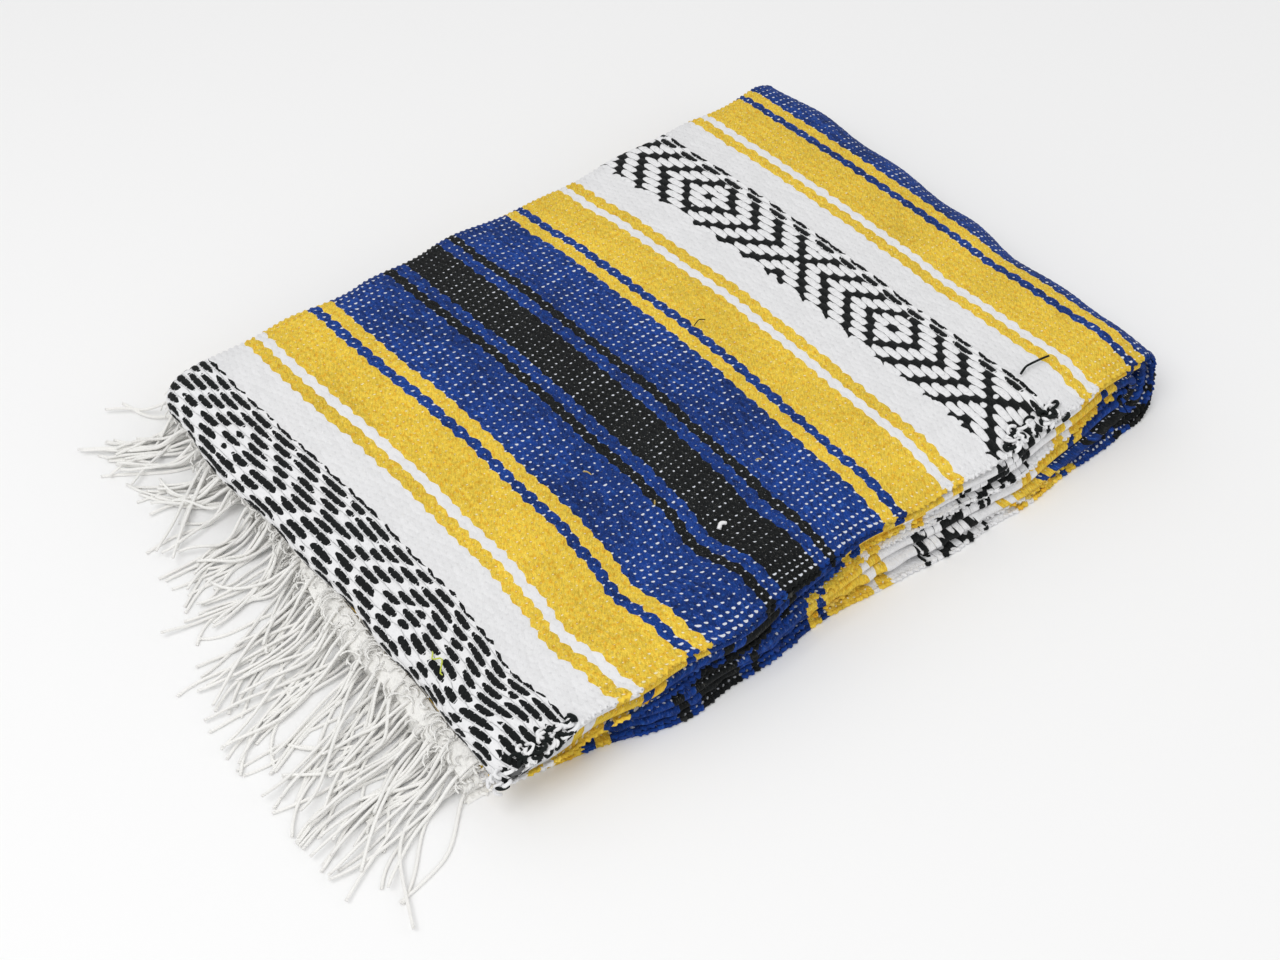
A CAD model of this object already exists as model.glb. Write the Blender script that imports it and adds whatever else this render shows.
import math

import bpy
import numpy as np
from mathutils import Matrix, Vector


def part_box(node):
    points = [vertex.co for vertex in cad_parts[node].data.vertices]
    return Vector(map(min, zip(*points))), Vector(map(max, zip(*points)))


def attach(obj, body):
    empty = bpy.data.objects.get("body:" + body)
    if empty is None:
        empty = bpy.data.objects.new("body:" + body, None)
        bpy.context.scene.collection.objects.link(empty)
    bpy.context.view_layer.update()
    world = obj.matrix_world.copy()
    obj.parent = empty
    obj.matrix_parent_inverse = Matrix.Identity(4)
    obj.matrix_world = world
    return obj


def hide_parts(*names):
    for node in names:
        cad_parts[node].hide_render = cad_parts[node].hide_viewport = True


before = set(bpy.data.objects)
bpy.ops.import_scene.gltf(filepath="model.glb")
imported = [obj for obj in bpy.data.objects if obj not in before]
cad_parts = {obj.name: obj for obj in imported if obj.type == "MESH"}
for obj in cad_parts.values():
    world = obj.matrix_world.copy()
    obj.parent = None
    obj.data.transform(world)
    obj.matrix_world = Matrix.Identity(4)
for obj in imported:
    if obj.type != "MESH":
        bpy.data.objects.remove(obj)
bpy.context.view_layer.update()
random = np.random.default_rng(7)

# How the blanket is folded, in metres, as the solids have it
fold = {
    "ply": 0.0026, "air": 0.0005, "panel": 0.3175,
    "outerTurn": 0.2430, "innerTurn": 0.2385, "leftTurn": -0.1625, "end": -0.1640,
    "outerTake": 0.0925, "leftTake": 0.0140, "innerTake": 0.0758,  # cloth used up by each turn
}
pitch = fold["ply"] + fold["air"]
layerHeight = 4 * pitch
halfPanel = fold["panel"] / 2
outerEdge = halfPanel - 1.5 * pitch - fold["ply"] / 2
innerEdge = outerEdge - 0.0012
nearEdge = -(halfPanel - 0.5 * pitch - fold["ply"] / 2)
selvedges = (-(halfPanel - 0.0005), -(halfPanel - 0.0030))  # Y of the first and the last one

# How the stack is pushed out of its even shape: place on one axis, then the amount. The ends are pushed
# along X for each Y, the long sides along Y for each X, the near one also at its bottom
leftPush = ((-0.160, -0.0035), (-0.100, 0.0005), (0.000, 0.0040),
            (0.100, 0.0020), (0.138, 0.0060), (0.160, 0.0120))
rightPush = ((-0.160, 0.0050), (-0.060, 0.0060), (-0.005, 0.0130),
             (0.070, 0.0175), (0.115, 0.0190), (0.160, 0.0160))
farPush = ((-0.190, 0.0160), (-0.100, 0.0165), (-0.050, 0.0100), (0.000, 0.0030),
           (0.050, 0.0020), (0.120, 0.0055), (0.200, 0.0070), (0.275, 0.0085))
nearPush = ((-0.190, 0.0090), (-0.130, 0.0080), (-0.085, 0.0040), (-0.030, 0.0000),
            (0.100, 0.0000), (0.275, 0.0000))
lowPush = ((-0.190, 0.0020), (-0.120, -0.0060), (-0.080, -0.0070), (-0.040, -0.0020),
           (0.030, -0.0030), (0.070, -0.0070), (0.200, -0.0090), (0.275, -0.0120))
heightShare = ((-0.190, 0.76), (-0.120, 0.80), (-0.060, 0.93),
               (0.020, 1.00), (0.140, 1.02), (0.215, 0.99), (0.275, 0.96))
# How far the stripes wander along X: for each Y, the amount at each of the places
driftPlaces = (-0.085, -0.018, 0.040, 0.104, 0.230)
drifts = (
    (-0.158, 0.0020, 0.0030, 0.0000, 0.0000, 0.0000), (-0.140, -0.0025, 0.0027, 0.0003, 0.0003, 0.0008),
    (-0.110, -0.0065, -0.0043, 0.0003, 0.0017, -0.0009), (-0.080, -0.0020, 0.0010, 0.0020, 0.0027, -0.0002),
    (-0.050, 0.0010, 0.0030, 0.0028, 0.0043, -0.0012), (-0.020, 0.0012, 0.0030, 0.0050, 0.0053, 0.0013),
    (0.020, 0.0023, 0.0043, 0.0043, 0.0063, 0.0023), (0.060, 0.0015, 0.0047, 0.0033, 0.0043, 0.0028),
    (0.100, -0.0008, 0.0027, 0.0028, 0.0027, 0.0020), (0.140, -0.0018, 0.0013, -0.0002, -0.0017, 0.0005),
)

# The weave, in metres: its threads and stripe repeat, its diamonds, and how far its yarns stand up
weave = {
    "pick": 0.0018, "warp": 0.00475, "repeat": 0.3150, "header": 0.0008,
    "column": 0.0048, "leftColumn": 0.0049,  # one column of floats, and one at the left end of the top
    "ring": 0.018375, "slant": 0.97,  # from one ring of a diamond to the next, and how its sides lean
    "diamond": 0.1470, "firstDiamond": 0.1010, "leftDiamond": 0.1065,  # length and middles
    "beadRise": 0.00035, "edgeRise": 1.3, "floatRise": 0.0009, "floatSink": 0.0002,
    "skin": 0.0004, "inset": 0.0003,  # how much of the cloth is raised yarn, and the edge under the rim
}
# Yarn and where it ends, counted from the middle of a black stripe to the diamond band
stripes = (("black", 0.0120), ("blue", 0.0185), ("black", 0.0245), ("blue", 0.0585),
           ("yellow", 0.0655), ("blue", 0.0720), ("yellow", 0.0980), ("white", 0.1045),
           ("yellow", 0.1105), ("white", 0.1330))
yarns = {
    "blue": (0.0050, 0.0385, 0.2250), "yellow": (0.840, 0.590, 0.060),
    "black": (0.0055, 0.0068, 0.0072), "white": (0.870, 0.870, 0.880),
    "warp": (0.740, 0.760, 0.820), "fringe": (0.960, 0.950, 0.920),
    "dark": (0.008, 0.011, 0.011), "lime": (0.62, 0.70, 0.05), "gold": (0.55, 0.38, 0.08),
}


class Value:  # a shader socket that can be used in sums
    def __init__(self, graph, socket):
        self.graph, self.socket = graph, socket

    def part(self, number):  # another output of the same node
        return Value(self.graph, self.socket.node.outputs[number])

    def maths(self, operation, *others):
        return self.graph.add("ShaderNodeMath", {"operation": operation}, [self, *others])

    def reflected(self, operation, other):
        return self.graph.add("ShaderNodeMath", {"operation": operation}, [other, self])

    def __add__(self, other): return self.maths("ADD", other)
    def __radd__(self, other): return self.maths("ADD", other)
    def __mul__(self, other): return self.maths("MULTIPLY", other)
    def __rmul__(self, other): return self.maths("MULTIPLY", other)
    def __sub__(self, other): return self.maths("SUBTRACT", other)
    def __rsub__(self, other): return self.reflected("SUBTRACT", other)
    def __truediv__(self, other): return self.maths("DIVIDE", other)
    def __rtruediv__(self, other): return self.reflected("DIVIDE", other)
    def __abs__(self): return self.maths("ABSOLUTE")


class Graph:
    def __init__(self, name):
        self.material = bpy.data.materials.new(name)
        self.material.use_nodes = True
        self.tree = self.material.node_tree
        self.tree.nodes.clear()

    def add(self, kind, settings=None, inputs=(), output=0):
        node = self.tree.nodes.new(kind)
        for key, value in (settings or {}).items():
            if key == "stops":
                self.setStops(node.color_ramp, value)
            else:
                setattr(node, key, value)
        pairs = inputs.items() if isinstance(inputs, dict) else enumerate(inputs)
        for key, value in pairs:
            if isinstance(value, Value):
                self.tree.links.new(value.socket, node.inputs[key])
            else:
                node.inputs[key].default_value = value
        return Value(self, node.outputs[output])

    def setStops(self, ramp, stops):
        ramp.interpolation = "CONSTANT"
        while len(ramp.elements) > 1:
            ramp.elements.remove(ramp.elements[-1])
        ramp.elements[0].position = stops[0][0]
        ramp.elements[0].color = (*stops[0][1], 1)
        for place, colour in stops[1:]:
            ramp.elements.new(place).color = (*colour, 1)

    def mix(self, factor, first, second, blend="MIX"):
        first = (*first, 1) if isinstance(first, tuple) else first
        second = (*second, 1) if isinstance(second, tuple) else second
        return self.add("ShaderNodeMix", {"data_type": "RGBA", "blend_type": blend},
                        {0: factor, 6: first, 7: second}, output=2)

    def vector(self, x, y, z=0.0):
        return self.add("ShaderNodeCombineXYZ", {}, [x, y, z])

    def noise(self, x, y, z=0.0, detail=2.0, rough=0.5):
        return self.add("ShaderNodeTexNoise", {}, {"Vector": self.vector(x, y, z), "Scale": 1.0,
                                                   "Detail": detail, "Roughness": rough})

    def chance(self, x, y, z=0.0):  # a value of its own for each whole place
        return self.add("ShaderNodeTexWhiteNoise", {"noise_dimensions": "3D"}, {"Vector": self.vector(x, y, z)})

    def places(self):  # the three values that each point of a mesh has as its place in the weave
        data = self.add("ShaderNodeAttribute", {"attribute_name": "weave"}, output=1)
        first = self.add("ShaderNodeSeparateXYZ", {}, [data])
        return first, first.part(1), first.part(2)

    def finish(self, colour, height, look):
        bump = self.add("ShaderNodeBump", {}, {"Strength": look["bumpStrength"], "Distance": look["bumpDepth"],
                                               "Height": height})
        shader = self.add("ShaderNodeBsdfPrincipled", {}, {
            "Base Color": colour, "Roughness": look["roughness"], "Sheen Weight": look["sheen"],
            "Sheen Roughness": 0.6, "Specular IOR Level": 0.15, "Normal": bump})
        output = self.tree.nodes.new("ShaderNodeOutputMaterial")
        self.tree.links.new(shader.socket, output.inputs[0])
        return self.material


# Sums that work on shader values and on arrays alike
def floorOf(x): return x.maths("FLOOR") if isinstance(x, Value) else np.floor(x)
def rootOf(x): return x.maths("SQRT") if isinstance(x, Value) else np.sqrt(x)
def signOf(x): return x.maths("SIGN") if isinstance(x, Value) else np.sign(x)
def lesser(x, y): return x.maths("MINIMUM", y) if isinstance(x, Value) else np.minimum(x, y)
def greater(x, y): return x.maths("MAXIMUM", y) if isinstance(x, Value) else np.maximum(x, y)
def choose(x, y, share): return x + (y - x) * share


def isLess(x, y):
    if isinstance(x, Value):
        return x.maths("LESS_THAN", y)
    return y.maths("GREATER_THAN", x) if isinstance(y, Value) else (x < y) * 1.0


def wrap(x, size):  # distance from the nearest multiple of size
    return x - floorOf(x / size + 0.5) * size


def ramp(x, low, high):  # 0 below low, 1 above high
    return lesser(greater((x - low) / (high - low), 0.0), 1.0)


# Nearest bead of weft and nearest warp dot in plain weave, u in picks and v in warps
def beads(u, v):
    du, dv = wrap(u - 0.5, 2.0), wrap(v - 0.5, 2.0)
    duNext, dvNext = du - signOf(du), dv - signOf(dv)
    first, second = du * du + 0.8 * dv * dv, duNext * duNext + 0.8 * dvNext * dvNext
    useSecond = isLess(second, first)
    bead = {"u": u - choose(du, duNext, useSecond), "v": v - choose(dv, dvNext, useSecond),
            "far": lesser(first, second)}
    leanOne, leanTwo = dv - 0.12 * duNext, dvNext - 0.12 * du
    one = 3.2 * duNext * duNext + 36.0 * leanOne * leanOne
    two = 3.2 * du * du + 36.0 * leanTwo * leanTwo
    useTwo = isLess(two, one)
    dot = {"u": u - choose(duNext, du, useTwo), "v": v - choose(dv, dvNext, useTwo),
           "far": lesser(one, two)}
    return bead, dot


# Widths and lengths of the floats as shares: black ones where they are tight and where they are loose,
# those at the left end of the top and its outermost ones, and all white ones
floatSizes = {
    "tight": (1.40, 0.080), "loose": (0.70, 0.056), "left": (0.62, 0.058), "outer": (0.60, 0.100),
    "white": (1.22, 0.112),
}


# Black and white floats of the diamond band: how far inside each a point lies
def floats(s, w, shake):
    (tightWide, tightLong), (looseWide, looseLong) = floatSizes["tight"], floatSizes["loose"]
    (leftWide, leftLong), (outerWide, outerLong) = floatSizes["left"], floatSizes["outer"]
    whiteWide, whiteLong = floatSizes["white"]
    left = isLess(0.0, s) * isLess(s, weave["repeat"])  # the band at the left end of the top
    step = choose(weave["column"], weave["leftColumn"], left)
    place = wrap(s - weave["repeat"] / 2, weave["repeat"]) / step
    column = floorOf(place + 0.5)
    side = 2 * (place - column)
    loose = greater(left, isLess(column, -3.5))
    middle = choose(weave["firstDiamond"], weave["leftDiamond"], left)
    down = abs(wrap(w - middle, weave["diamond"]))
    rank = down + weave["slant"] * weave["column"] * abs(column) + shake * (1 + 1.2 * left)
    rank = rank / weave["ring"]
    phase = abs(wrap(rank, 1.0))
    outer = left * isLess(column, -2.5)  # the long dashes beside the white stripe
    wide = choose(tightWide, choose(looseWide, choose(leftWide, outerWide, outer), left), loose)
    dash = phase / choose(looseLong, choose(leftLong, outerLong, outer), left)
    black = 1 - side * side / wide - phase * phase * choose(1 / tightLong, dash, loose)
    white = 1 - side * side * side * side / whiteWide - (0.5 - phase) * (0.5 - phase) / whiteLong
    return black, white, loose


def inBand(s):
    return 1 - isLess(abs(wrap(s, weave["repeat"])), stripes[-1][1])


# The folded shape, worked on whole arrays
def ease(share):
    share = np.clip(share, 0, 1)
    return share * share * (3 - 2 * share)


def readOff(table, place):
    places, values = np.array(table).T
    row = np.clip(np.searchsorted(places, place) - 1, 0, len(places) - 2)
    share = ease((place - places[row]) / (places[row + 1] - places[row]))
    return values[row] + (values[row + 1] - values[row]) * share


def plyDepth(ply): return (2.5 - ply) * pitch
def levelOf(layer): return (layer - 0.5) * layerHeight - fold["air"] / 2


# Points of a half circle and the cloth's own direction, with which it starts as outward
def halfTurn(start, end, centre, side, outward, steps=40):
    angle = np.linspace(0, math.pi, steps + 1)
    radius, middle = abs(start - end) / 2, (start + end) / 2
    outX, outZ = side * np.sin(angle), -np.sign(end - start) * np.cos(angle)
    flip = outward * np.sign(outZ[0])
    return centre + radius * outX, middle + radius * outZ, flip * outX, flip * outZ, radius * angle


# Table of distance, place, level and direction through straight runs and half turns
def buildPath(first, last, turns, levels, takes=None):
    rows, walked, place, outward = [], 0.0, first, takes[0] if takes else 1.0
    rows.append((0.0, first, levels(turns[0][0]), 0.0, outward))
    for number, (leaves, enters, centre, side) in enumerate(turns):
        walked += abs(centre - place)
        x, z, nx, nz, length = halfTurn(levels(leaves), levels(enters), centre, side, outward)
        if takes:
            length = length / length[-1] * takes[number + 1]
        rows += list(zip(walked + length, x, z, nx, nz))
        walked, place, outward = walked + length[-1], centre, -outward
    rows.append((walked + abs(last - place), last, levels(turns[-1][1]), 0.0, outward))
    return np.array(rows)


# Turns of the cloth: the ply or layer that it leaves, the one it enters, the place and the side
acrossTurns = ((1, 4, outerEdge, 1), (4, 3, nearEdge, -1), (3, 2, innerEdge, 1))
alongTurns = ((1, 4, fold["outerTurn"], 1), (4, 3, fold["leftTurn"], -1), (3, 2, fold["innerTurn"], 1))
across = buildPath(selvedges[0], selvedges[1], acrossTurns, plyDepth)
along = buildPath(fold["end"], fold["end"], alongTurns, levelOf,
                  (-1.0, fold["outerTake"], fold["leftTake"], fold["innerTake"]))
clothWidth, clothLength = across[-1, 0], along[-1, 0]
# Where each layer and ply begins and ends, as distances along the cloth
runOne = fold["outerTurn"] - fold["end"]
outerEnd = runOne + fold["outerTake"]
leftStart = outerEnd + fold["outerTurn"] - fold["leftTurn"]
leftEnd = leftStart + fold["leftTake"]
innerStart = leftEnd + fold["innerTurn"] - fold["leftTurn"]
innerEnd = innerStart + fold["innerTake"]
blackMiddle = outerEnd + fold["outerTurn"]  # the black stripe that lies at X = 0 on top
plyEnd = across[41, 0]  # end of the turn from ply 1 to ply 4


# How uneven the stack is: sizes in metres or shares of the height, waves with turns for each metre
settled = {
    "lump": (0.022, 17.0, 14.0), "nearDroop": 0.13, "farDroop": 0.04, "waist": 0.0045,
    "endLean": 0.006, "endFan": 0.011, "endPeep": 0.0085,
    "sway": (0.0020, 24.0), "ripple": (0.0012, 41.0, 5.0),
    "endWave": (0.0010, 95.0, 90.0), "sideWave": (0.0008, 110.0, 60.0),
}


def settle(x, y, z, low):
    span = fold["innerTurn"] - fold["leftTurn"]
    left = ease((fold["innerTurn"] - x) / span) ** 2
    right = ease((x - fold["leftTurn"]) / span) ** 2
    reach = low * (1 - ease((x - fold["end"]) / 0.110))
    y = y + reach * (settled["endLean"] + settled["endFan"] * (0.5 - y / fold["panel"]))
    xNew = x + left * readOff(leftPush, y) + right * readOff(rightPush, y)
    high, alongX = settled["sway"]
    yNew = y + high * np.sin(alongX * x + 0.8)
    high, alongX, alongY = settled["ripple"]
    yNew = yNew + high * np.sin(alongX * x + alongY * y)
    high, alongX, alongY = settled["lump"]
    lump = high * np.sin(alongX * x + 0.6) * np.cos(alongY * y - 0.5)
    droop = 1 - settled["nearDroop"] * ease((-0.128 - y) / 0.032) - settled["farDroop"] * ease((y - 0.135) / 0.03)
    bottom = 1 - np.clip(z / 0.045, 0, 1)
    near = ease((-0.07 - y) / 0.08)
    waist = settled["waist"] * np.sin(math.pi * (1 - bottom)) * (0.75 + 0.5 * np.sin(31.0 * x))
    yNew = yNew + ease((y + 0.02) / 0.15) * readOff(farPush, x)
    yNew = yNew + near * (readOff(nearPush, x) + bottom * readOff(lowPush, x) + waist)
    peep = low * ease((0.045 - y) / 0.05) * (1 - ease((x - fold["end"]) / 0.05))  # ends peep out
    xNew = xNew - settled["endPeep"] * peep
    high, alongY, alongZ = settled["endWave"]
    xNew = xNew + high * np.sin(alongY * y + alongZ * z) * (left + right)
    high, alongX, alongZ = settled["sideWave"]
    yNew = yNew + high * np.sin(alongX * x + alongZ * z) * (near - ease((y - 0.10) / 0.05))
    return xNew, yNew, z * (readOff(heightShare, x) + lump) * droop


# Waves along folds and selvedges: height in metres and turns for each metre
swing = {"long": (0.0013, 19.0), "short": (0.0009, 47.0), "phase": 0.55, "shrink": 0.97}


# Places in the settled stack of points of the flat cloth, lifted off its middle
def foldPoints(s, w, lift):
    beyond = np.maximum(s - clothLength, 0) + np.maximum(-s, 0)
    x, z, nx, nz = (np.interp(s, along[:, 0], along[:, k]) for k in (1, 2, 3, 4))
    y, depth, ny, nd = (np.interp(w, across[:, 0], across[:, k]) for k in (1, 2, 3, 4))
    x = x - beyond * (0.35 + 0.75 * ease((0.04 - y) / 0.05))
    low = ((s < runOne) | (s > innerEnd)) * 1.0
    # Each fold and selvedge swings in and out in its own way
    farOut = ease((np.abs(y) - 0.147) / 0.006)
    station = np.where(y > 0, 1.0, np.where(depth < 0, -1.0, np.where(depth > 1.2 * pitch, 0.0, 29.0)))
    walked, phase = swing["shrink"] * s, swing["phase"] * station
    (high, turns), (highToo, turnsToo) = swing["long"], swing["short"]
    sway = high * np.sin(turns * walked + phase) + highToo * np.sin(turnsToo * walked - phase)
    y = y + ny * lift + farOut * sway
    depth = depth + nd * lift
    x, y, z = settle(x + nx * depth, y, z + nz * depth, low)
    z = z * (1 - 0.45 * ease(beyond / 0.016))
    return x, y, np.maximum(z, 0.0002)


# Height of the yarn over the cloth's middle surface, more of it where edge is 1
def relief(s, w, edge=0.0):
    toBlack = s - blackMiddle
    overPick = np.cos(math.pi * (toBlack / weave["pick"] - 0.5))
    overWarp = np.cos(math.pi * (w / weave["warp"] - 0.5))
    plain = weave["beadRise"] * (1 + weave["edgeRise"] * edge) * overPick * overWarp
    black, white, _ = floats(toBlack, w, 0.0)
    raised = weave["floatRise"] * np.sqrt(np.maximum(np.maximum(black, white), 0.0)) - weave["floatSink"]
    return choose(plain, raised, inBand(toBlack))


# How far the stripes stray along the cloth, as they lie on the top and less away from it
def driftOf(s, w):
    onTop = np.clip(s, outerEnd, leftStart)
    x, y, _ = foldPoints(onTop, w, 0.0)
    atPlaces = [readOff([(row[0], row[k + 1]) for row in drifts], y) for k in range(len(driftPlaces))]
    drift = atPlaces[0]
    for k in range(1, len(driftPlaces)):
        start, end = driftPlaces[k - 1:k + 1]
        drift = choose(drift, atPlaces[k], ease((x - start) / (end - start)))
    straightX = fold["outerTurn"] - (onTop - outerEnd)
    stray = (drift - (x - straightX)) * (1 - 0.6 * ease((abs(s - onTop) - 0.05) / 0.15))
    # An outer ply goes farther round a fold than the middle one
    depth = np.interp(w, across[:, 0], across[:, 2]) + fold["ply"] / 2
    into = np.clip(s - leftStart, 0, fold["leftTake"])
    slideLeft = into * (0.85 * math.pi * (layerHeight / 2 + depth) / fold["leftTake"] - 1)
    into = np.clip(outerEnd - s, 0, fold["outerTake"])
    slideRight = into * (math.pi * (1.5 * layerHeight + depth) / fold["outerTake"] - 1)
    stray = stray + slideLeft * (1 - ease((s - leftEnd) / 0.20)) * (s < clothLength * 0.75)
    return stray - slideRight * (1 - ease((runOne - s) / 0.20))


def addMesh(name, points, faces, material, attributes=None):
    mesh = bpy.data.meshes.new(name)
    mesh.from_pydata(points, [], faces)
    mesh.shade_smooth()
    for key, values in (attributes or {}).items():
        layer = mesh.attributes.new(key, "FLOAT_VECTOR", "POINT")
        layer.data.foreach_set("vector", np.asarray(values, np.float32).ravel())
    mesh.materials.append(material)
    piece = bpy.data.objects.new(name, mesh)
    bpy.context.scene.collection.objects.link(piece)
    return piece


def gridFaces(rows, columns, start=0, flip=False):
    index = np.arange(rows * columns).reshape(rows, columns) + start
    quads = np.stack([index[:-1, :-1], index[1:, :-1], index[1:, 1:], index[:-1, 1:]], -1).reshape(-1, 4)
    return quads[:, ::-1] if flip else quads


# A stretch of the cloth between distances s and w, with its yarn relief and no rim where s is parted
def clothPatch(name, s, w, material, twoSided, shift, parted=math.inf):
    rows, columns = len(s), len(w)
    grid = np.meshgrid(s, w, indexing="ij")
    flatS, flatW = grid[0].ravel(), grid[1].ravel()
    drifted = flatS + driftOf(flatS, flatW)
    y = np.interp(flatW, across[:, 0], across[:, 1])
    rise = relief(drifted, flatW, ease((np.abs(y) - halfPanel + 0.014) / 0.010))
    half = fold["ply"] / 2
    level = half - weave["skin"]
    sides = [level + rise] + ([-level - rise] if twoSided else [])
    points, faces, data = [], [], []
    for number, lift in enumerate(sides):
        points.append(np.stack(foldPoints(flatS, flatW, lift), 1))
        faces.append(gridFaces(rows, columns, number * rows * columns, number == 0))
        data.append(np.stack([drifted - blackMiddle, flatW, flatS], 1))
    index = np.arange(rows * columns).reshape(rows, columns)
    rim = np.concatenate([index[:, 0], index[-1, 1:], index[-2::-1, -1], index[0, -2:0:-1]])
    kept = ~((flatS[rim] == parted) & (flatS[np.roll(rim, -1)] == parted))
    # The rim has points of its own, so that its shading stays apart from the faces
    count = sum(len(block) for block in points)
    points += [points[0][rim], np.stack(foldPoints(flatS[rim], flatW[rim], -half + weave["inset"]), 1)]
    data += [data[0][rim], data[0][rim]]
    upper = np.arange(len(rim)) + count
    under = upper + len(rim)
    faces.append(np.stack([upper, under, np.roll(under, -1), np.roll(upper, -1)], 1)[kept, ::-1])
    points = np.concatenate(points) + shift
    return addMesh(name, points.tolist(), np.concatenate(faces).tolist(), material,
                   {"weave": np.concatenate(data)})


# Places from start to end, fine within 12 mm of the places in keep and coarse elsewhere
def stations(start, end, fine, coarse=None, keep=()):
    places, here = [start], start
    while here < end - fine / 2:
        near = not coarse or min(abs(here + fine - k) for k in keep) < 0.012
        here = min(here + (fine if near else coarse), end)
        places.append(here)
    return np.array(places)


# Noises over the cloth: waves for each metre along and across it, a third place, detail and roughness
woolNoises = {
    "fibre": (2600.0, 700.0, 0.0, 3.0, 0.6), "lumps": (260.0, 120.0, 0.0, 2.0, 0.5),
    "patches": (22.0, 14.0, 0.0, 2.0, 0.5), "wobble": (90.0, 60.0, 3.0, 1.0, 0.5),
    "flecks": (480.0, 330.0, 9.0, 3.0, 0.65),
}
# What is mixed into the yarns' colours, and how the wool takes the light
woolLook = {
    "goldFleck": (0.76, 0.37, 0.012), "lemonFleck": (0.95, 0.80, 0.30),
    "paleFleck": (0.022, 0.110, 0.420), "deepFleck": (0.002, 0.010, 0.055),
    "fibre": (0.80, 0.78, 0.70), "warpInYellow": (0.92, 0.84, 0.56),
    "shadeOnWhite": (0.30, 0.31, 0.32), "twistOnWhite": (0.45, 0.45, 0.45), "groove": (0.25, 0.26, 0.27),
    "fibreOnBlack": (0.3, 0.32, 0.3), "shadeOnHeader": (0.30, 0.28, 0.25),
    "roughness": 0.92, "sheen": 0.04, "bumpStrength": 0.85, "bumpDepth": 0.0005,
}


# Weft in its stripes, with the dots of warp that show between the picks
def plainWeave(graph, s, noise, ply, bead, dot, nearEdge):
    where = abs(wrap(bead["u"] * weave["pick"], weave["repeat"]))  # from the middle of a black stripe
    reach = weave["repeat"] / 2
    stops = [(0.0, yarns[stripes[0][0]])]
    stops += [(end / reach, yarns[stripes[k + 1][0]]) for k, (_, end) in enumerate(stripes[:-1])]
    colour = graph.add("ShaderNodeValToRGB", {"stops": stops}, [where / reach])
    red = graph.add("ShaderNodeSeparateColor", {}, [colour])
    blue = red.part(2)
    isDark, isWhite = isLess(red, 0.1), ramp(blue, 0.6, 0.7)
    onlyYellow = isLess(blue, 0.2) * ramp(red, 0.3, 0.5)
    onlyBlue = isDark * ramp(blue, 0.05, 0.15)
    # Each bead has a shade of its own, and fibres lighter and darker
    fleck, fibre = noise["flecks"], noise["fibre"]
    shade = graph.chance(bead["u"], bead["v"])
    tone = 0.93 + (0.12 + 0.34 * isDark) * (shade - 0.5) + 0.9 * (fibre - 0.5)
    tone = tone + 0.9 * (ply - 0.5) + (0.4 + 0.8 * isDark) * (noise["patches"] - 0.5)
    colour = graph.mix(ramp(fleck, 0.50, 0.64) * onlyYellow * 0.72, colour, woolLook["goldFleck"])
    colour = graph.mix(ramp(1 - fleck, 0.60, 0.70) * onlyYellow * 0.5, colour, woolLook["lemonFleck"])
    colour = graph.mix(ramp(fleck, 0.56, 0.70) * onlyBlue * 0.65, colour, woolLook["paleFleck"])
    colour = graph.mix(ramp(1 - fleck, 0.54, 0.66) * onlyBlue * 0.75, colour, woolLook["deepFleck"])
    colour = graph.mix(ramp(fibre, 0.60, 0.78) * 0.25, colour, woolLook["fibre"])
    tone = choose(tone, 0.90 + 0.14 * (fibre - 0.5) + 0.06 * shade, isWhite)
    colour = graph.mix(1.0, colour, graph.vector(tone, tone, tone), "MULTIPLY")
    deep = ramp(bead["far"], 0.55, 1.15) * choose(0.42, 0.16, isWhite)  # the hollow between two beads
    colour = graph.mix(deep, colour, (0.0, 0.0, 0.0))
    # Dots of warp, most of them in the blue and along the selvedges
    row = graph.noise(s * 30.0, dot["v"] * 7.7, 1.0, 1.0)
    size = 0.18 + 0.50 * graph.chance(dot["u"], dot["v"], 5.0) + 1.0 * (row - 0.45)
    size = size + 0.8 * (noise["patches"] - 0.5) + 0.7 * nearEdge
    size = size * choose(0.50, 1.0, isDark) * choose(0.7, 1.0, isLess(0.03, where))
    size = size * choose(1.0, 0.9, isLess(0.06, where))
    showWarp = ramp(size * 1.1 - dot["far"], 0.0, 0.35)
    warp = graph.mix(onlyYellow, yarns["warp"], woolLook["warpInYellow"])
    return graph.mix(showWarp * isLess(blue, 0.7), colour, warp), deep, showWarp


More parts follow.
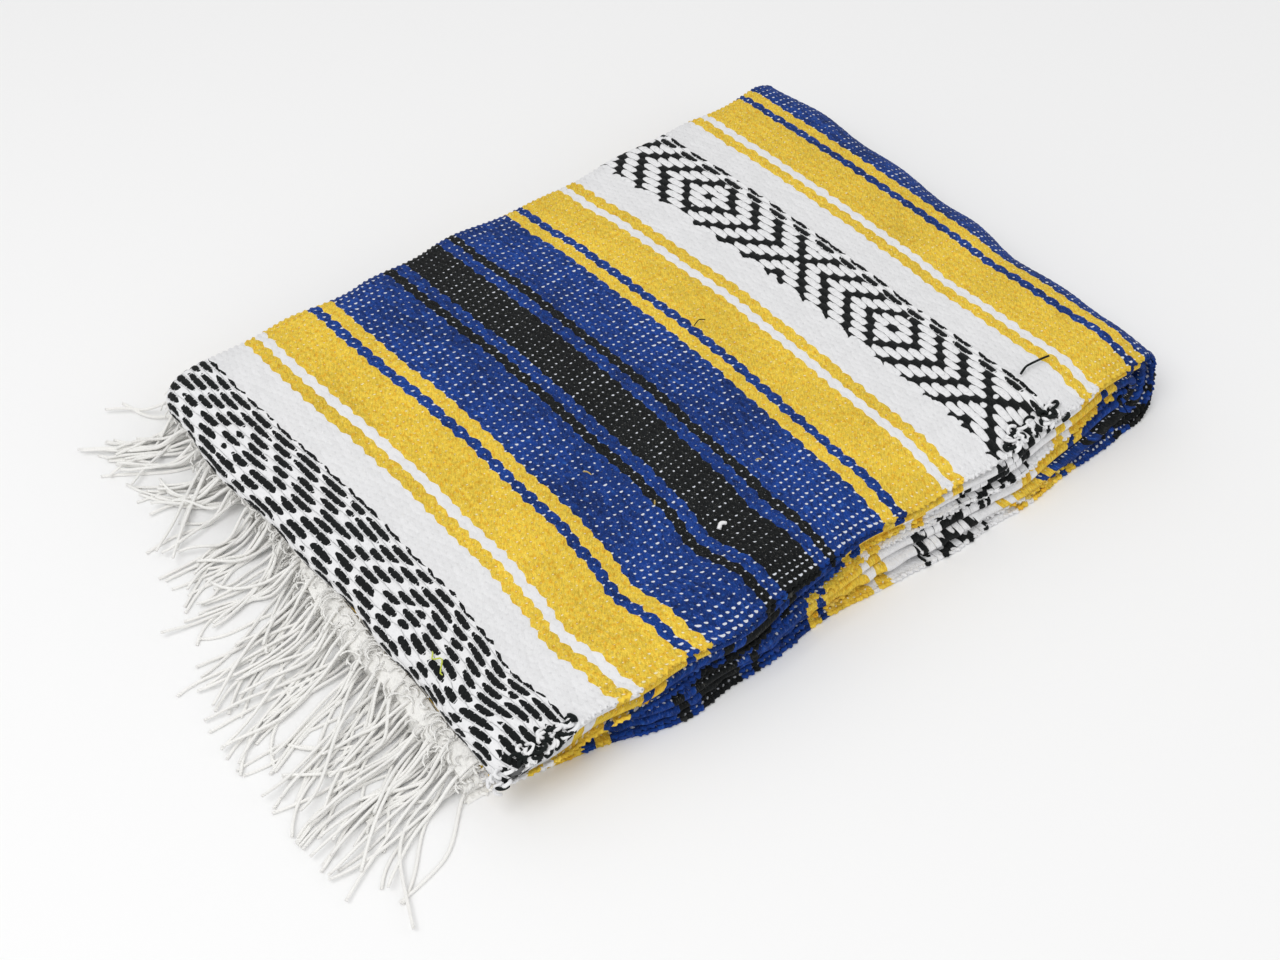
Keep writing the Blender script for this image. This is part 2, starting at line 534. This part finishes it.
# Floats of the diamond band: tight and black on the right, loose white ones with black dashes on the left
def diamondBand(graph, s, w, noise, twist):
    shake = (noise["wobble"] - 0.5) * 0.006 + (noise["lumps"] - 0.5) * 0.003
    black, white, loose = floats(s, w, shake)
    shadow, fibre = woolLook["shadeOnWhite"], noise["fibre"]
    whiteYarn = graph.mix(0.22 * (1 - ramp(white, 0.05, 0.5)), yarns["white"], shadow)
    whiteYarn = graph.mix(0.15 * ramp(twist, 0.5, 0.75), whiteYarn, woolLook["twistOnWhite"])
    blackYarn = graph.mix(0.10 * ramp(fibre, 0.55, 0.8), yarns["black"], woolLook["fibreOnBlack"])
    cleft = 0.30 * (1 - ramp(abs(white - 0.86), 0.0, 0.10)) * ramp(twist, 0.40, 0.60)
    showWhite = ramp(white + (fibre - 0.5) * 0.30 + (twist - 0.5) * 0.25, 0.00, 0.12)
    tight = graph.mix(showWhite, blackYarn, graph.mix(cleft, whiteYarn, shadow))
    grooved = graph.mix(0.5 * (1 - ramp(abs(white), 0.0, 0.30)), whiteYarn, woolLook["groove"])
    dashed = graph.mix(ramp(black + (fibre - 0.5) * 0.25, 0.0, 0.10), grooved, blackYarn)
    thread = isLess(abs(wrap(w + s * 0.15 + shake, weave["warp"] * 1.05)), 0.00032) * isLess(black, 0.45)
    dashed = graph.mix(0.8 * thread, dashed, yarns["white"])
    return graph.mix(loose, tight, dashed), 1.6 * rootOf(greater(greater(black, white), 0.0))


def woolMaterial():
    graph = Graph("woven_wool")
    s, w, walked = graph.places()
    noise = {name: graph.noise(s * alongS, w * acrossW, z, detail, rough)
             for name, (alongS, acrossW, z, detail, rough) in woolNoises.items()}
    ply = graph.noise(s * 950.0 + w * 800.0, w * 260.0 - s * 220.0, 2.0, 2.0, 0.55)
    twist = graph.noise(s * 1500.0, w * 420.0 + s * 500.0)
    bead, dot = beads(s / weave["pick"] + (noise["lumps"] - 0.5) * 1.3,
                      w / weave["warp"] + (noise["wobble"] - 0.5) * 0.5)
    nearEdge = 1 - ramp(lesser(w, clothWidth - w), 0.004, 0.016)
    plain, deep, showWarp = plainWeave(graph, s, noise, ply, bead, dot, nearEdge)
    banded, floatDomes = diamondBand(graph, s, w, noise, twist)
    band = inBand(bead["u"] * weave["pick"])
    colour = graph.mix(band, plain, banded)
    # The first and last picks are white
    fromEnd = lesser(walked, clothLength - walked)
    header = isLess(fromEnd + 0.022 * (noise["patches"] - 0.56) - 0.022 * nearEdge, weave["header"])
    dirt = deep + 0.25 * ramp(noise["fibre"], 0.5, 0.8)
    colour = graph.mix(header, colour, graph.mix(dirt, yarns["fringe"], woolLook["shadeOnHeader"]))
    domes = rootOf(greater(1 - 0.8 * bead["far"], 0.0)) - 0.3 * showWarp
    height = choose(domes, floatDomes, band) + 0.7 * (noise["fibre"] - 0.5)
    height = height + 0.35 * (twist - 0.5) + 1.2 * (ply - 0.5)
    return graph.finish(colour, height, woolLook)


yarnLook = {"roughness": 0.85, "sheen": 0.35, "bumpStrength": 0.6, "bumpDepth": 0.0003, "shaded": 0.62}


def yarnMaterial(name, colour, dirt, sheen=yarnLook["sheen"]):
    graph = Graph(name)
    walked, around, strand = graph.places()
    twist = (walked * 4200.0 + around * 12.566).maths("SINE")
    fuzz = graph.noise(walked * 900.0, around * 3.0, strand, 3.0, 0.6)
    tint = graph.add("ShaderNodeTexWhiteNoise", {"noise_dimensions": "1D"}, {"W": strand})
    darker = tuple(yarnLook["shaded"] * c for c in colour)
    shade = graph.mix(ramp(tint, 0.45, 1.0) * dirt + 0.12 * ramp(fuzz, 0.5, 0.8), colour, darker)
    return graph.finish(shade, twist * 0.4 + fuzz, {**yarnLook, "sheen": sheen})


# Round yarns along the given paths as one mesh; flat gives each its place in the weave
def tubes(name, paths, radius, material, shift, sides=5, flat=None):
    points, faces, data = [], [], []
    angles = np.linspace(0, 2 * math.pi, sides, endpoint=False)
    for number, path in enumerate(paths):
        path = np.asarray(path)
        tangent = np.gradient(path, axis=0)
        tangent /= np.linalg.norm(tangent, axis=1)[:, None]
        sideways = np.cross(tangent, (0.0, 0.0, 1.0)) + 1e-6
        sideways /= np.linalg.norm(sideways, axis=1)[:, None]
        upward = np.cross(sideways, tangent)
        walked = np.concatenate([[0], np.cumsum(np.linalg.norm(np.diff(path, axis=0), axis=1))])
        start = sum(len(block) for block in points)
        cosines, sines = np.cos(angles)[None, :, None], np.sin(angles)[None, :, None]
        ring = cosines * sideways[:, None] + sines * upward[:, None]
        size = radius * (1 - 0.15 * np.linspace(0, 1, len(path)) ** 3)  # a little thinner at its end
        points.append((path[:, None] + ring * size[:, None, None]).reshape(-1, 3))
        around = np.tile(angles / 6.2832, len(path))
        if flat is None:
            data.append(np.stack([np.repeat(walked, sides), around, np.full(len(around), number + 0.5)], 1))
        else:
            data.append(np.tile(flat[number], (len(around), 1)))
        for k in range(len(path) - 1):
            for j in range(sides):
                a, b = start + k * sides + j, start + k * sides + (j + 1) % sides
                faces.append((a, b, b + sides, a + sides))
        last = start + (len(path) - 1) * sides
        faces.append(tuple(start + j for j in reversed(range(sides))))
        faces.append(tuple(last + j for j in range(sides)))
    points = np.concatenate(points) + shift
    return addMesh(name, points.tolist(), faces, material, {"weave": np.concatenate(data)})


# The loose ends and the fluff before them, in metres and degrees. The two tables give for each Y the way
# the ends point and their share of the length
fringe = {
    "spacing": 0.0140, "radius": 0.00098, "shortest": 0.040, "longest": 0.074, "segments": 14,
    "droop": 0.016, "pile": 0.0050, "strip": 0.0090, "clump": 0.0150, "farthest": 0.2815, "widest": 0.190,
    "together": 0.75, "clumpTurn": 17, "turn": 7, "bend": 0.30, "sway": 0.16,
    "aside": 0.004, "starts": (0.15, 0.85), "raised": 0.0016, "wave": 0.003,
    "fluff": 620, "fluffRadius": 0.0006, "fluffSize": (0.0018, 0.0045), "fluffTurn": (1.5, 4.0),
    "overPicks": (-0.0012, 0.0010), "fluffLift": 0.0014,
    "fan": ((-0.160, -60.0), (-0.132, -47.0), (-0.105, -16.0), (-0.080, -14.0), (-0.040, -22.0),
            (0.000, -10.0), (0.050, 6.0), (0.110, 18.0), (0.165, 32.0)),
    "reach": ((-0.160, 1.20), (-0.020, 1.20), (0.040, 1.08), (0.100, 0.92), (0.160, 0.80)),
}


def outOf(atEnd, distance):  # distance along the cloth of a place beyond one of its ends
    return -distance if atEnd == 0 else clothLength + distance


def placeOf(s, w, lift):  # one point of the settled cloth
    return [float(v[0]) for v in foldPoints(np.array([s]), np.array([w]), lift)]


# Loose warp ends from one end of the cloth, falling to the floor and spreading over it
def strandPaths(atEnd):
    paths = []
    number = int(clothWidth / fringe["spacing"])  # strands on one end
    clump = random.normal(0, 1, (90, 2))
    for k in range(number):
        w = (k + 0.5) * clothWidth / number + random.uniform(-fringe["aside"], fringe["aside"])
        edge = outOf(atEnd, fringe["strip"] * random.uniform(*fringe["starts"]))
        x, y, z = placeOf(edge, w, fringe["raised"] if k % 2 else 0.0)
        group = int((y + 0.2) / fringe["clump"])
        reach = random.uniform(fringe["shortest"], fringe["longest"]) * (1 + 0.12 * clump[group, 1])
        reach = reach * readOff(fringe["reach"], y)
        heading = float(readOff(fringe["fan"], y)) + fringe["clumpTurn"] * clump[group, 0]
        heading = math.radians(heading + random.normal(0, fringe["turn"]))
        bend = random.normal(0, fringe["bend"]) - 0.25 * clump[group, 1]
        sway = random.normal(0, fringe["sway"])
        rest = fringe["radius"] + fringe["pile"] * random.uniform(0, 1) ** 2
        rest = min(rest, max(z, fringe["radius"]))
        share = np.linspace(0, 1, fringe["segments"] + 1)
        turned = heading * np.minimum(1.0, 0.25 + 1.6 * share) + bend * share ** 2 + sway * np.sin(7 * share + k)
        step = reach / fringe["segments"]
        px = x - np.concatenate([[0], np.cumsum(np.cos(turned[1:]) * step)])
        py = y + np.concatenate([[0], np.cumsum(np.sin(turned[1:]) * step)])
        lock = (group + 0.5) * fringe["clump"] - 0.2
        py = py + fringe["together"] * (lock - y) * ease(1.6 * share)  # locks draw together
        room = (x + shift[0] + fringe["farthest"]) / (x - px.min())
        px, py = x + (px - x) * min(1.0, room), y + (py - y) * min(1.0, room)
        fallen = ease((share * reach - 0.001) / (fringe["droop"] + 0.5 * z))
        lift = random.uniform(0, fringe["wave"]) * np.sin(share * 7 + k) * share * (rest > 0.002)
        pz = z + (rest - z) * fallen + np.maximum(lift, 0)
        path = np.stack([px, py, np.maximum(pz, fringe["radius"])], 1)
        inside = np.abs(py + shift[1]) < fringe["widest"]
        count = len(path) if inside.all() else int(np.argmin(inside))
        paths.append(path[:max(6, count)])
    return paths


# Short curls of fluff on the strip before the loose ends
def curlPaths(atEnd):
    paths = []
    for k in range(fringe["fluff"]):
        w, out = random.uniform(0, clothWidth), random.uniform(0, fringe["strip"])
        if k % 2:
            out = random.uniform(*fringe["overPicks"])  # half of them lie over the last picks
        place = np.array(placeOf(outOf(atEnd, out), w, fringe["fluffLift"]))
        turn = random.uniform(0, 2 * math.pi)
        share = np.linspace(0, 1, 6)
        size = random.uniform(*fringe["fluffSize"])
        angle = turn + share * random.uniform(*fringe["fluffTurn"])
        path = np.stack([np.cos(angle) - 0.8 * share, np.sin(angle) + 0.3 * share, 0.5 * np.sin(share * 3.0)], 1)
        path = place + (path - path[0]) * size
        paths.append(np.maximum(path, (-9, -9, 0.0008)))  # none goes into the floor
    return paths


bandCurl = {"number": 22, "radius": 0.00100, "along": (-0.024, 0.019), "across": (-0.0005, 0.0075),
            "sweep": (2.2, 4.2), "size": (0.0021, 0.0038), "lift": 0.0016, "arch": 0.0014,
            "slack": (-0.0004, 0.0006), "droop": 0.9}


# Loose turns of thick yarn where a diamond band meets the near selvedge
def bandCurls(middle):
    paths = []
    for _ in range(bandCurl["number"]):
        s = middle + random.uniform(*bandCurl["along"])
        w = random.uniform(*bandCurl["across"])
        x, y, z = placeOf(s, w, bandCurl["lift"])
        turn, sweep = random.uniform(0, 6.28), random.uniform(*bandCurl["sweep"])
        size = random.uniform(*bandCurl["size"])
        angle = turn + np.linspace(0, 1, 9) * sweep
        rise = bandCurl["arch"] * np.sin(np.linspace(0, math.pi, 9)) + random.uniform(*bandCurl["slack"])
        drop = bandCurl["droop"] * np.maximum(0.003 - w, 0)
        paths.append(np.stack([x + size * np.cos(angle), y + 0.7 * size * np.sin(angle), z + rise - drop], 1))
    return paths


loop = {"radius": 0.0011, "size": (0.0010, 0.0019), "sunk": 0.0010, "slip": 0.0005, "lift": 0.0006,
        "lowest": 0.0012}


# Small loops of weft where it turns back at a selvedge
def loopPaths(w, outward):
    paths, distances = [], []
    for s in np.arange(0.0, clothLength, 2 * weave["pick"]):
        s = s + random.uniform(-loop["slip"], loop["slip"])
        size = random.uniform(*loop["size"])
        share = np.linspace(0, 1, 7)
        alongS = s + (share - 0.5) * 1.9 * weave["pick"] + 0.0006 * np.sin(share * 6)
        outW = w + outward * (size * np.sin(share * math.pi) - loop["sunk"])
        lift = random.uniform(-loop["lift"], loop["lift"])
        lift = lift + random.uniform(-loop["slip"], loop["slip"]) * np.cos(share * 5)
        x, y, z = foldPoints(alongS, np.clip(outW, 0, clothWidth), lift)
        y = y + np.where(outW < 0, outW, np.where(outW > clothWidth, clothWidth - outW, 0))
        paths.append(np.stack([x, y, np.maximum(z, loop["lowest"])], 1))
        distances.append(s + float(driftOf(np.array([s]), np.array([w]))[0]) - blackMiddle)
    return paths, distances


def standIn(piece, node):
    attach(piece, "root")
    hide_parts(node)


wool = woolMaterial()
fringeYarn = yarnMaterial("warp_cotton", yarns["fringe"], 0.12)
darkYarn = yarnMaterial("dark_wool", yarns["dark"], 0.2, 0.03)
whiteYarn = yarnMaterial("white_wool", yarns["white"], 0.1)
limeYarn = yarnMaterial("lime_wool", yarns["lime"], 0.2)
goldYarn = yarnMaterial("gold_wool", yarns["gold"], 0.2)
print("materials", len(bpy.data.materials))

# The folded cloth is laid in the middle of the solid that it stands in for
probeS, probeW = np.meshgrid(np.linspace(0, clothLength, 500), np.linspace(0, clothWidth, 400))
probe = np.stack(foldPoints(probeS.ravel(), probeW.ravel(), 0.0), 1)
clothLow, clothHigh = (np.array(corner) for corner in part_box("blanket_cloth"))
middle = (clothLow + clothHigh) / 2 - (probe.min(0) + probe.max(0)) / 2
shift = np.array([middle[0], middle[1], 0.0])
print("shift of the folded cloth", shift)

# How far apart the points of the sheets lie, in metres, on the top, in hidden plies and in the fringe's strip
spacing = {
    "topS": 0.0009, "topW": weave["warp"] / 4, "quickTop": 2.5,
    "hiddenS": 0.0036, "lowestS": 0.0028, "foldW": 0.0011, "flatW": 0.0090,
    "stripS": 0.0009, "stripW": 0.0024,
}
foldEdges = [0.0, clothWidth, *across[1:-1, 0]]
parting = blackMiddle - 0.0215  # under the thin black stripe, where the join isn't seen
innerMiddle = (innerStart + innerEnd) / 2
patches = (
    ("cloth_top_right", (runOne, parting), (0.0, plyEnd), "fine"),
    ("cloth_top_left", (parting, leftEnd), (0.0, plyEnd), "fine"),
    ("cloth_top_inner", (runOne, leftEnd), (plyEnd, clothWidth), "plain"),
    ("cloth_layer_three", (leftEnd, innerMiddle), (0.0, clothWidth), "plain"),
    ("cloth_layer_two", (innerMiddle, clothLength), (0.0, clothWidth), "plain"),
    ("cloth_layer_one", (0.0, runOne), (0.0, clothWidth), "plain"),
)
for name, (sStart, sEnd), (wStart, wEnd), kind in patches:
    if kind == "fine":
        s = stations(sStart, sEnd, spacing["topS"] * (1))
        s = s[(s > outerEnd) | (np.arange(len(s)) % 2 == 0)]  # fewer round the right fold
        w = stations(wStart, wEnd, spacing["topW"])
    else:
        s = stations(sStart, sEnd, spacing["lowestS" if name == "cloth_layer_one" else "hiddenS"])
        w = stations(wStart, wEnd, spacing["foldW"], spacing["flatW"], foldEdges)
    piece = clothPatch(name, s, w, wool, kind != "fine", shift, parting)
    standIn(piece, "blanket_cloth")
    wEnd - wStart
    sEnd - sStart
    print("cloth", name, len(s), "by", len(w), "stations,", len(piece.data.polygons), "faces")

for name, w, outward in (("near_loops", 0.0, -1), ("inner_loops", clothWidth, 1)):
    paths, distances = loopPaths(w, outward)
    flat = [(distance, w, distance + blackMiddle) for distance in distances]
    standIn(tubes(name, paths, loop["radius"], wool, shift, 5, flat), "blanket_cloth")
    print("loops", name, len(paths))

looseYarns = []
for middle in (blackMiddle + weave["repeat"] / 2, blackMiddle - weave["repeat"] / 2):
    for name, yarn in (("white_curls", whiteYarn), ("dark_curls", darkYarn)):
        looseYarns.append(tubes(name, bandCurls(middle), bandCurl["radius"], yarn, shift, 6))


# Places on the top of the cloth, given the X and Y seen there
def onTop(points, lift=0.0):
    flat = np.array(points)
    s = outerEnd + fold["outerTurn"] - flat[:, 0]
    w = flat[:, 1] - selvedges[0]
    for _ in range(4):
        x, y, z = foldPoints(s, w, fold["ply"] / 2 + 0.0003)
        s, w = s + (x - flat[:, 0]), w + (flat[:, 1] - y)
    return np.stack([x, y, z + lift], 1)


def smoothPath(points, steps=12):
    points = np.array(points)
    share = np.linspace(0, len(points) - 1, steps)
    row = np.arange(len(points))
    return np.stack([np.interp(share, row, points[:, k]) for k in range(points.shape[1])], 1)


# Stray ends and flecks: yarn, radius, height over the cloth, and places on the top
strays = (
    ("dark_end", darkYarn, 0.0007, 0.0012,
     ((0.1843, -0.1302), (0.190, -0.1285), (0.199, -0.1295), (0.2065, -0.1302))),
    ("dark_thread", darkYarn, 0.0003, 0.0008, ((0.076, 0.010), (0.080, 0.011), (0.0835, 0.0095))),
    ("white_lint", whiteYarn, 0.0011, 0.0006, ((-0.0120, -0.1100), (-0.0095, -0.1085), (-0.0070, -0.1098))),
    ("lime_fleck", limeYarn, 0.0004, 0.0008, ((-0.1615, -0.0760), (-0.1635, -0.0830), (-0.1628, -0.0905))),
    ("gold_fleck_one", goldYarn, 0.0004, 0.0006, ((0.0335, -0.0870), (0.0352, -0.0890))),
    ("gold_fleck_two", goldYarn, 0.0004, 0.0006, ((-0.0375, -0.0350), (-0.0362, -0.0400))),
    ("gold_fleck_three", goldYarn, 0.0004, 0.0006, ((-0.0250, -0.0765), (-0.0236, -0.0748))),
)
for name, yarn, radius, lift, points in strays:
    path = onTop(smoothPath(points), lift)
    path[:, 2] += 0.0016 * np.sin(np.linspace(0.2, 2.6, len(path)))
    looseYarns.append(tubes(name, [path], radius, yarn, shift, 6))
for piece in looseYarns:
    standIn(piece, "blanket_cloth")
print("loose yarns", len(looseYarns))

for name, node, atEnd in (("fringe_lower_ends", "fringe_lower", 0), ("fringe_upper_ends", "fringe_upper", 1)):
    ends = tubes(name, strandPaths(atEnd), fringe["radius"], fringeYarn, shift)
    standIn(ends, node)
    start, end = sorted((outOf(atEnd, 0.0), outOf(atEnd, fringe["strip"])))
    header = clothPatch(name.replace("ends", "header"), stations(start, end, spacing["stripS"]),
                        stations(0, clothWidth, spacing["stripW"]), wool, True, shift)
    standIn(header, node)
    curls = tubes(name.replace("ends", "curls"), curlPaths(atEnd), fringe["fluffRadius"], fringeYarn, shift, 4)
    standIn(curls, node)
    print("fringe", name, len(ends.data.polygons), "faces")

# Floor, light and camera; the camera aims at a place on the cloth from a turn and a height in degrees
studio = {
    "floor": (0.92, 0.92, 0.92, 1), "floorHalf": 6, "floorRoughness": 0.9, "sky": 0.74,
    "lamps": (("key", (-0.9, -0.2, 1.5), 9, 0.9), ("fill", (0.9, -1.1, 1.1), 2.5, 1.2)),
    "turn": -39.80, "height": 45.76, "away": 0.9608, "aim": (-0.0199, -0.0589, 0.0485),
    "sensor": 36.0, "focus": 1902.2 / 1280,
}
half = studio["floorHalf"]
floor = bpy.data.meshes.new("floor")
floor.from_pydata([(-half, -half, 0), (half, -half, 0), (half, half, 0), (-half, half, 0)], [], [(0, 1, 2, 3)])
floorPiece = bpy.data.objects.new("floor", floor)
floorMaterial = bpy.data.materials.new("pale_floor")
floorMaterial.use_nodes = True
floorShader = floorMaterial.node_tree.nodes["Principled BSDF"]
floorShader.inputs["Base Color"].default_value = studio["floor"]
floorShader.inputs["Roughness"].default_value = studio["floorRoughness"]
floor.materials.append(floorMaterial)
bpy.context.scene.collection.objects.link(floorPiece)

world = bpy.data.worlds.new("studio")
world.use_nodes = True
world.node_tree.nodes["Background"].inputs["Color"].default_value = (1, 1, 1, 1)
world.node_tree.nodes["Background"].inputs["Strength"].default_value = studio["sky"]
bpy.context.scene.world = world
for name, place, power, size in studio["lamps"]:
    lamp = bpy.data.lights.new(name, "AREA")
    lamp.energy, lamp.size = power, size
    holder = bpy.data.objects.new(name, lamp)
    holder.location = place
    direction = -np.array(place)  # towards the middle of the floor
    holder.rotation_euler = (math.atan2(math.hypot(*direction[:2]), -direction[2]), 0,
                             math.atan2(-direction[0], direction[1]))
    bpy.context.scene.collection.objects.link(holder)
print("lamps", len(studio["lamps"]))

turn, height = math.radians(studio["turn"]), math.radians(studio["height"])
back = np.array([math.sin(turn) * math.cos(height), -math.cos(turn) * math.cos(height), math.sin(height)])
right = np.array([math.cos(turn), math.sin(turn), 0.0])
up = np.cross(back, right)
spot = np.array(studio["aim"]) + shift + back * studio["away"]
camera = bpy.data.objects.new("camera", bpy.data.cameras.new("camera"))
camera.data.sensor_width = studio["sensor"]
camera.data.lens = studio["sensor"] * studio["focus"]
camera.matrix_world = Matrix.LocRotScale(Vector(spot), Matrix(np.stack([right, up, back], 1).tolist()), None)
bpy.context.scene.collection.objects.link(camera)
bpy.context.scene.camera = camera
bpy.context.scene.view_settings.view_transform = "Standard"
print("camera at", spot)
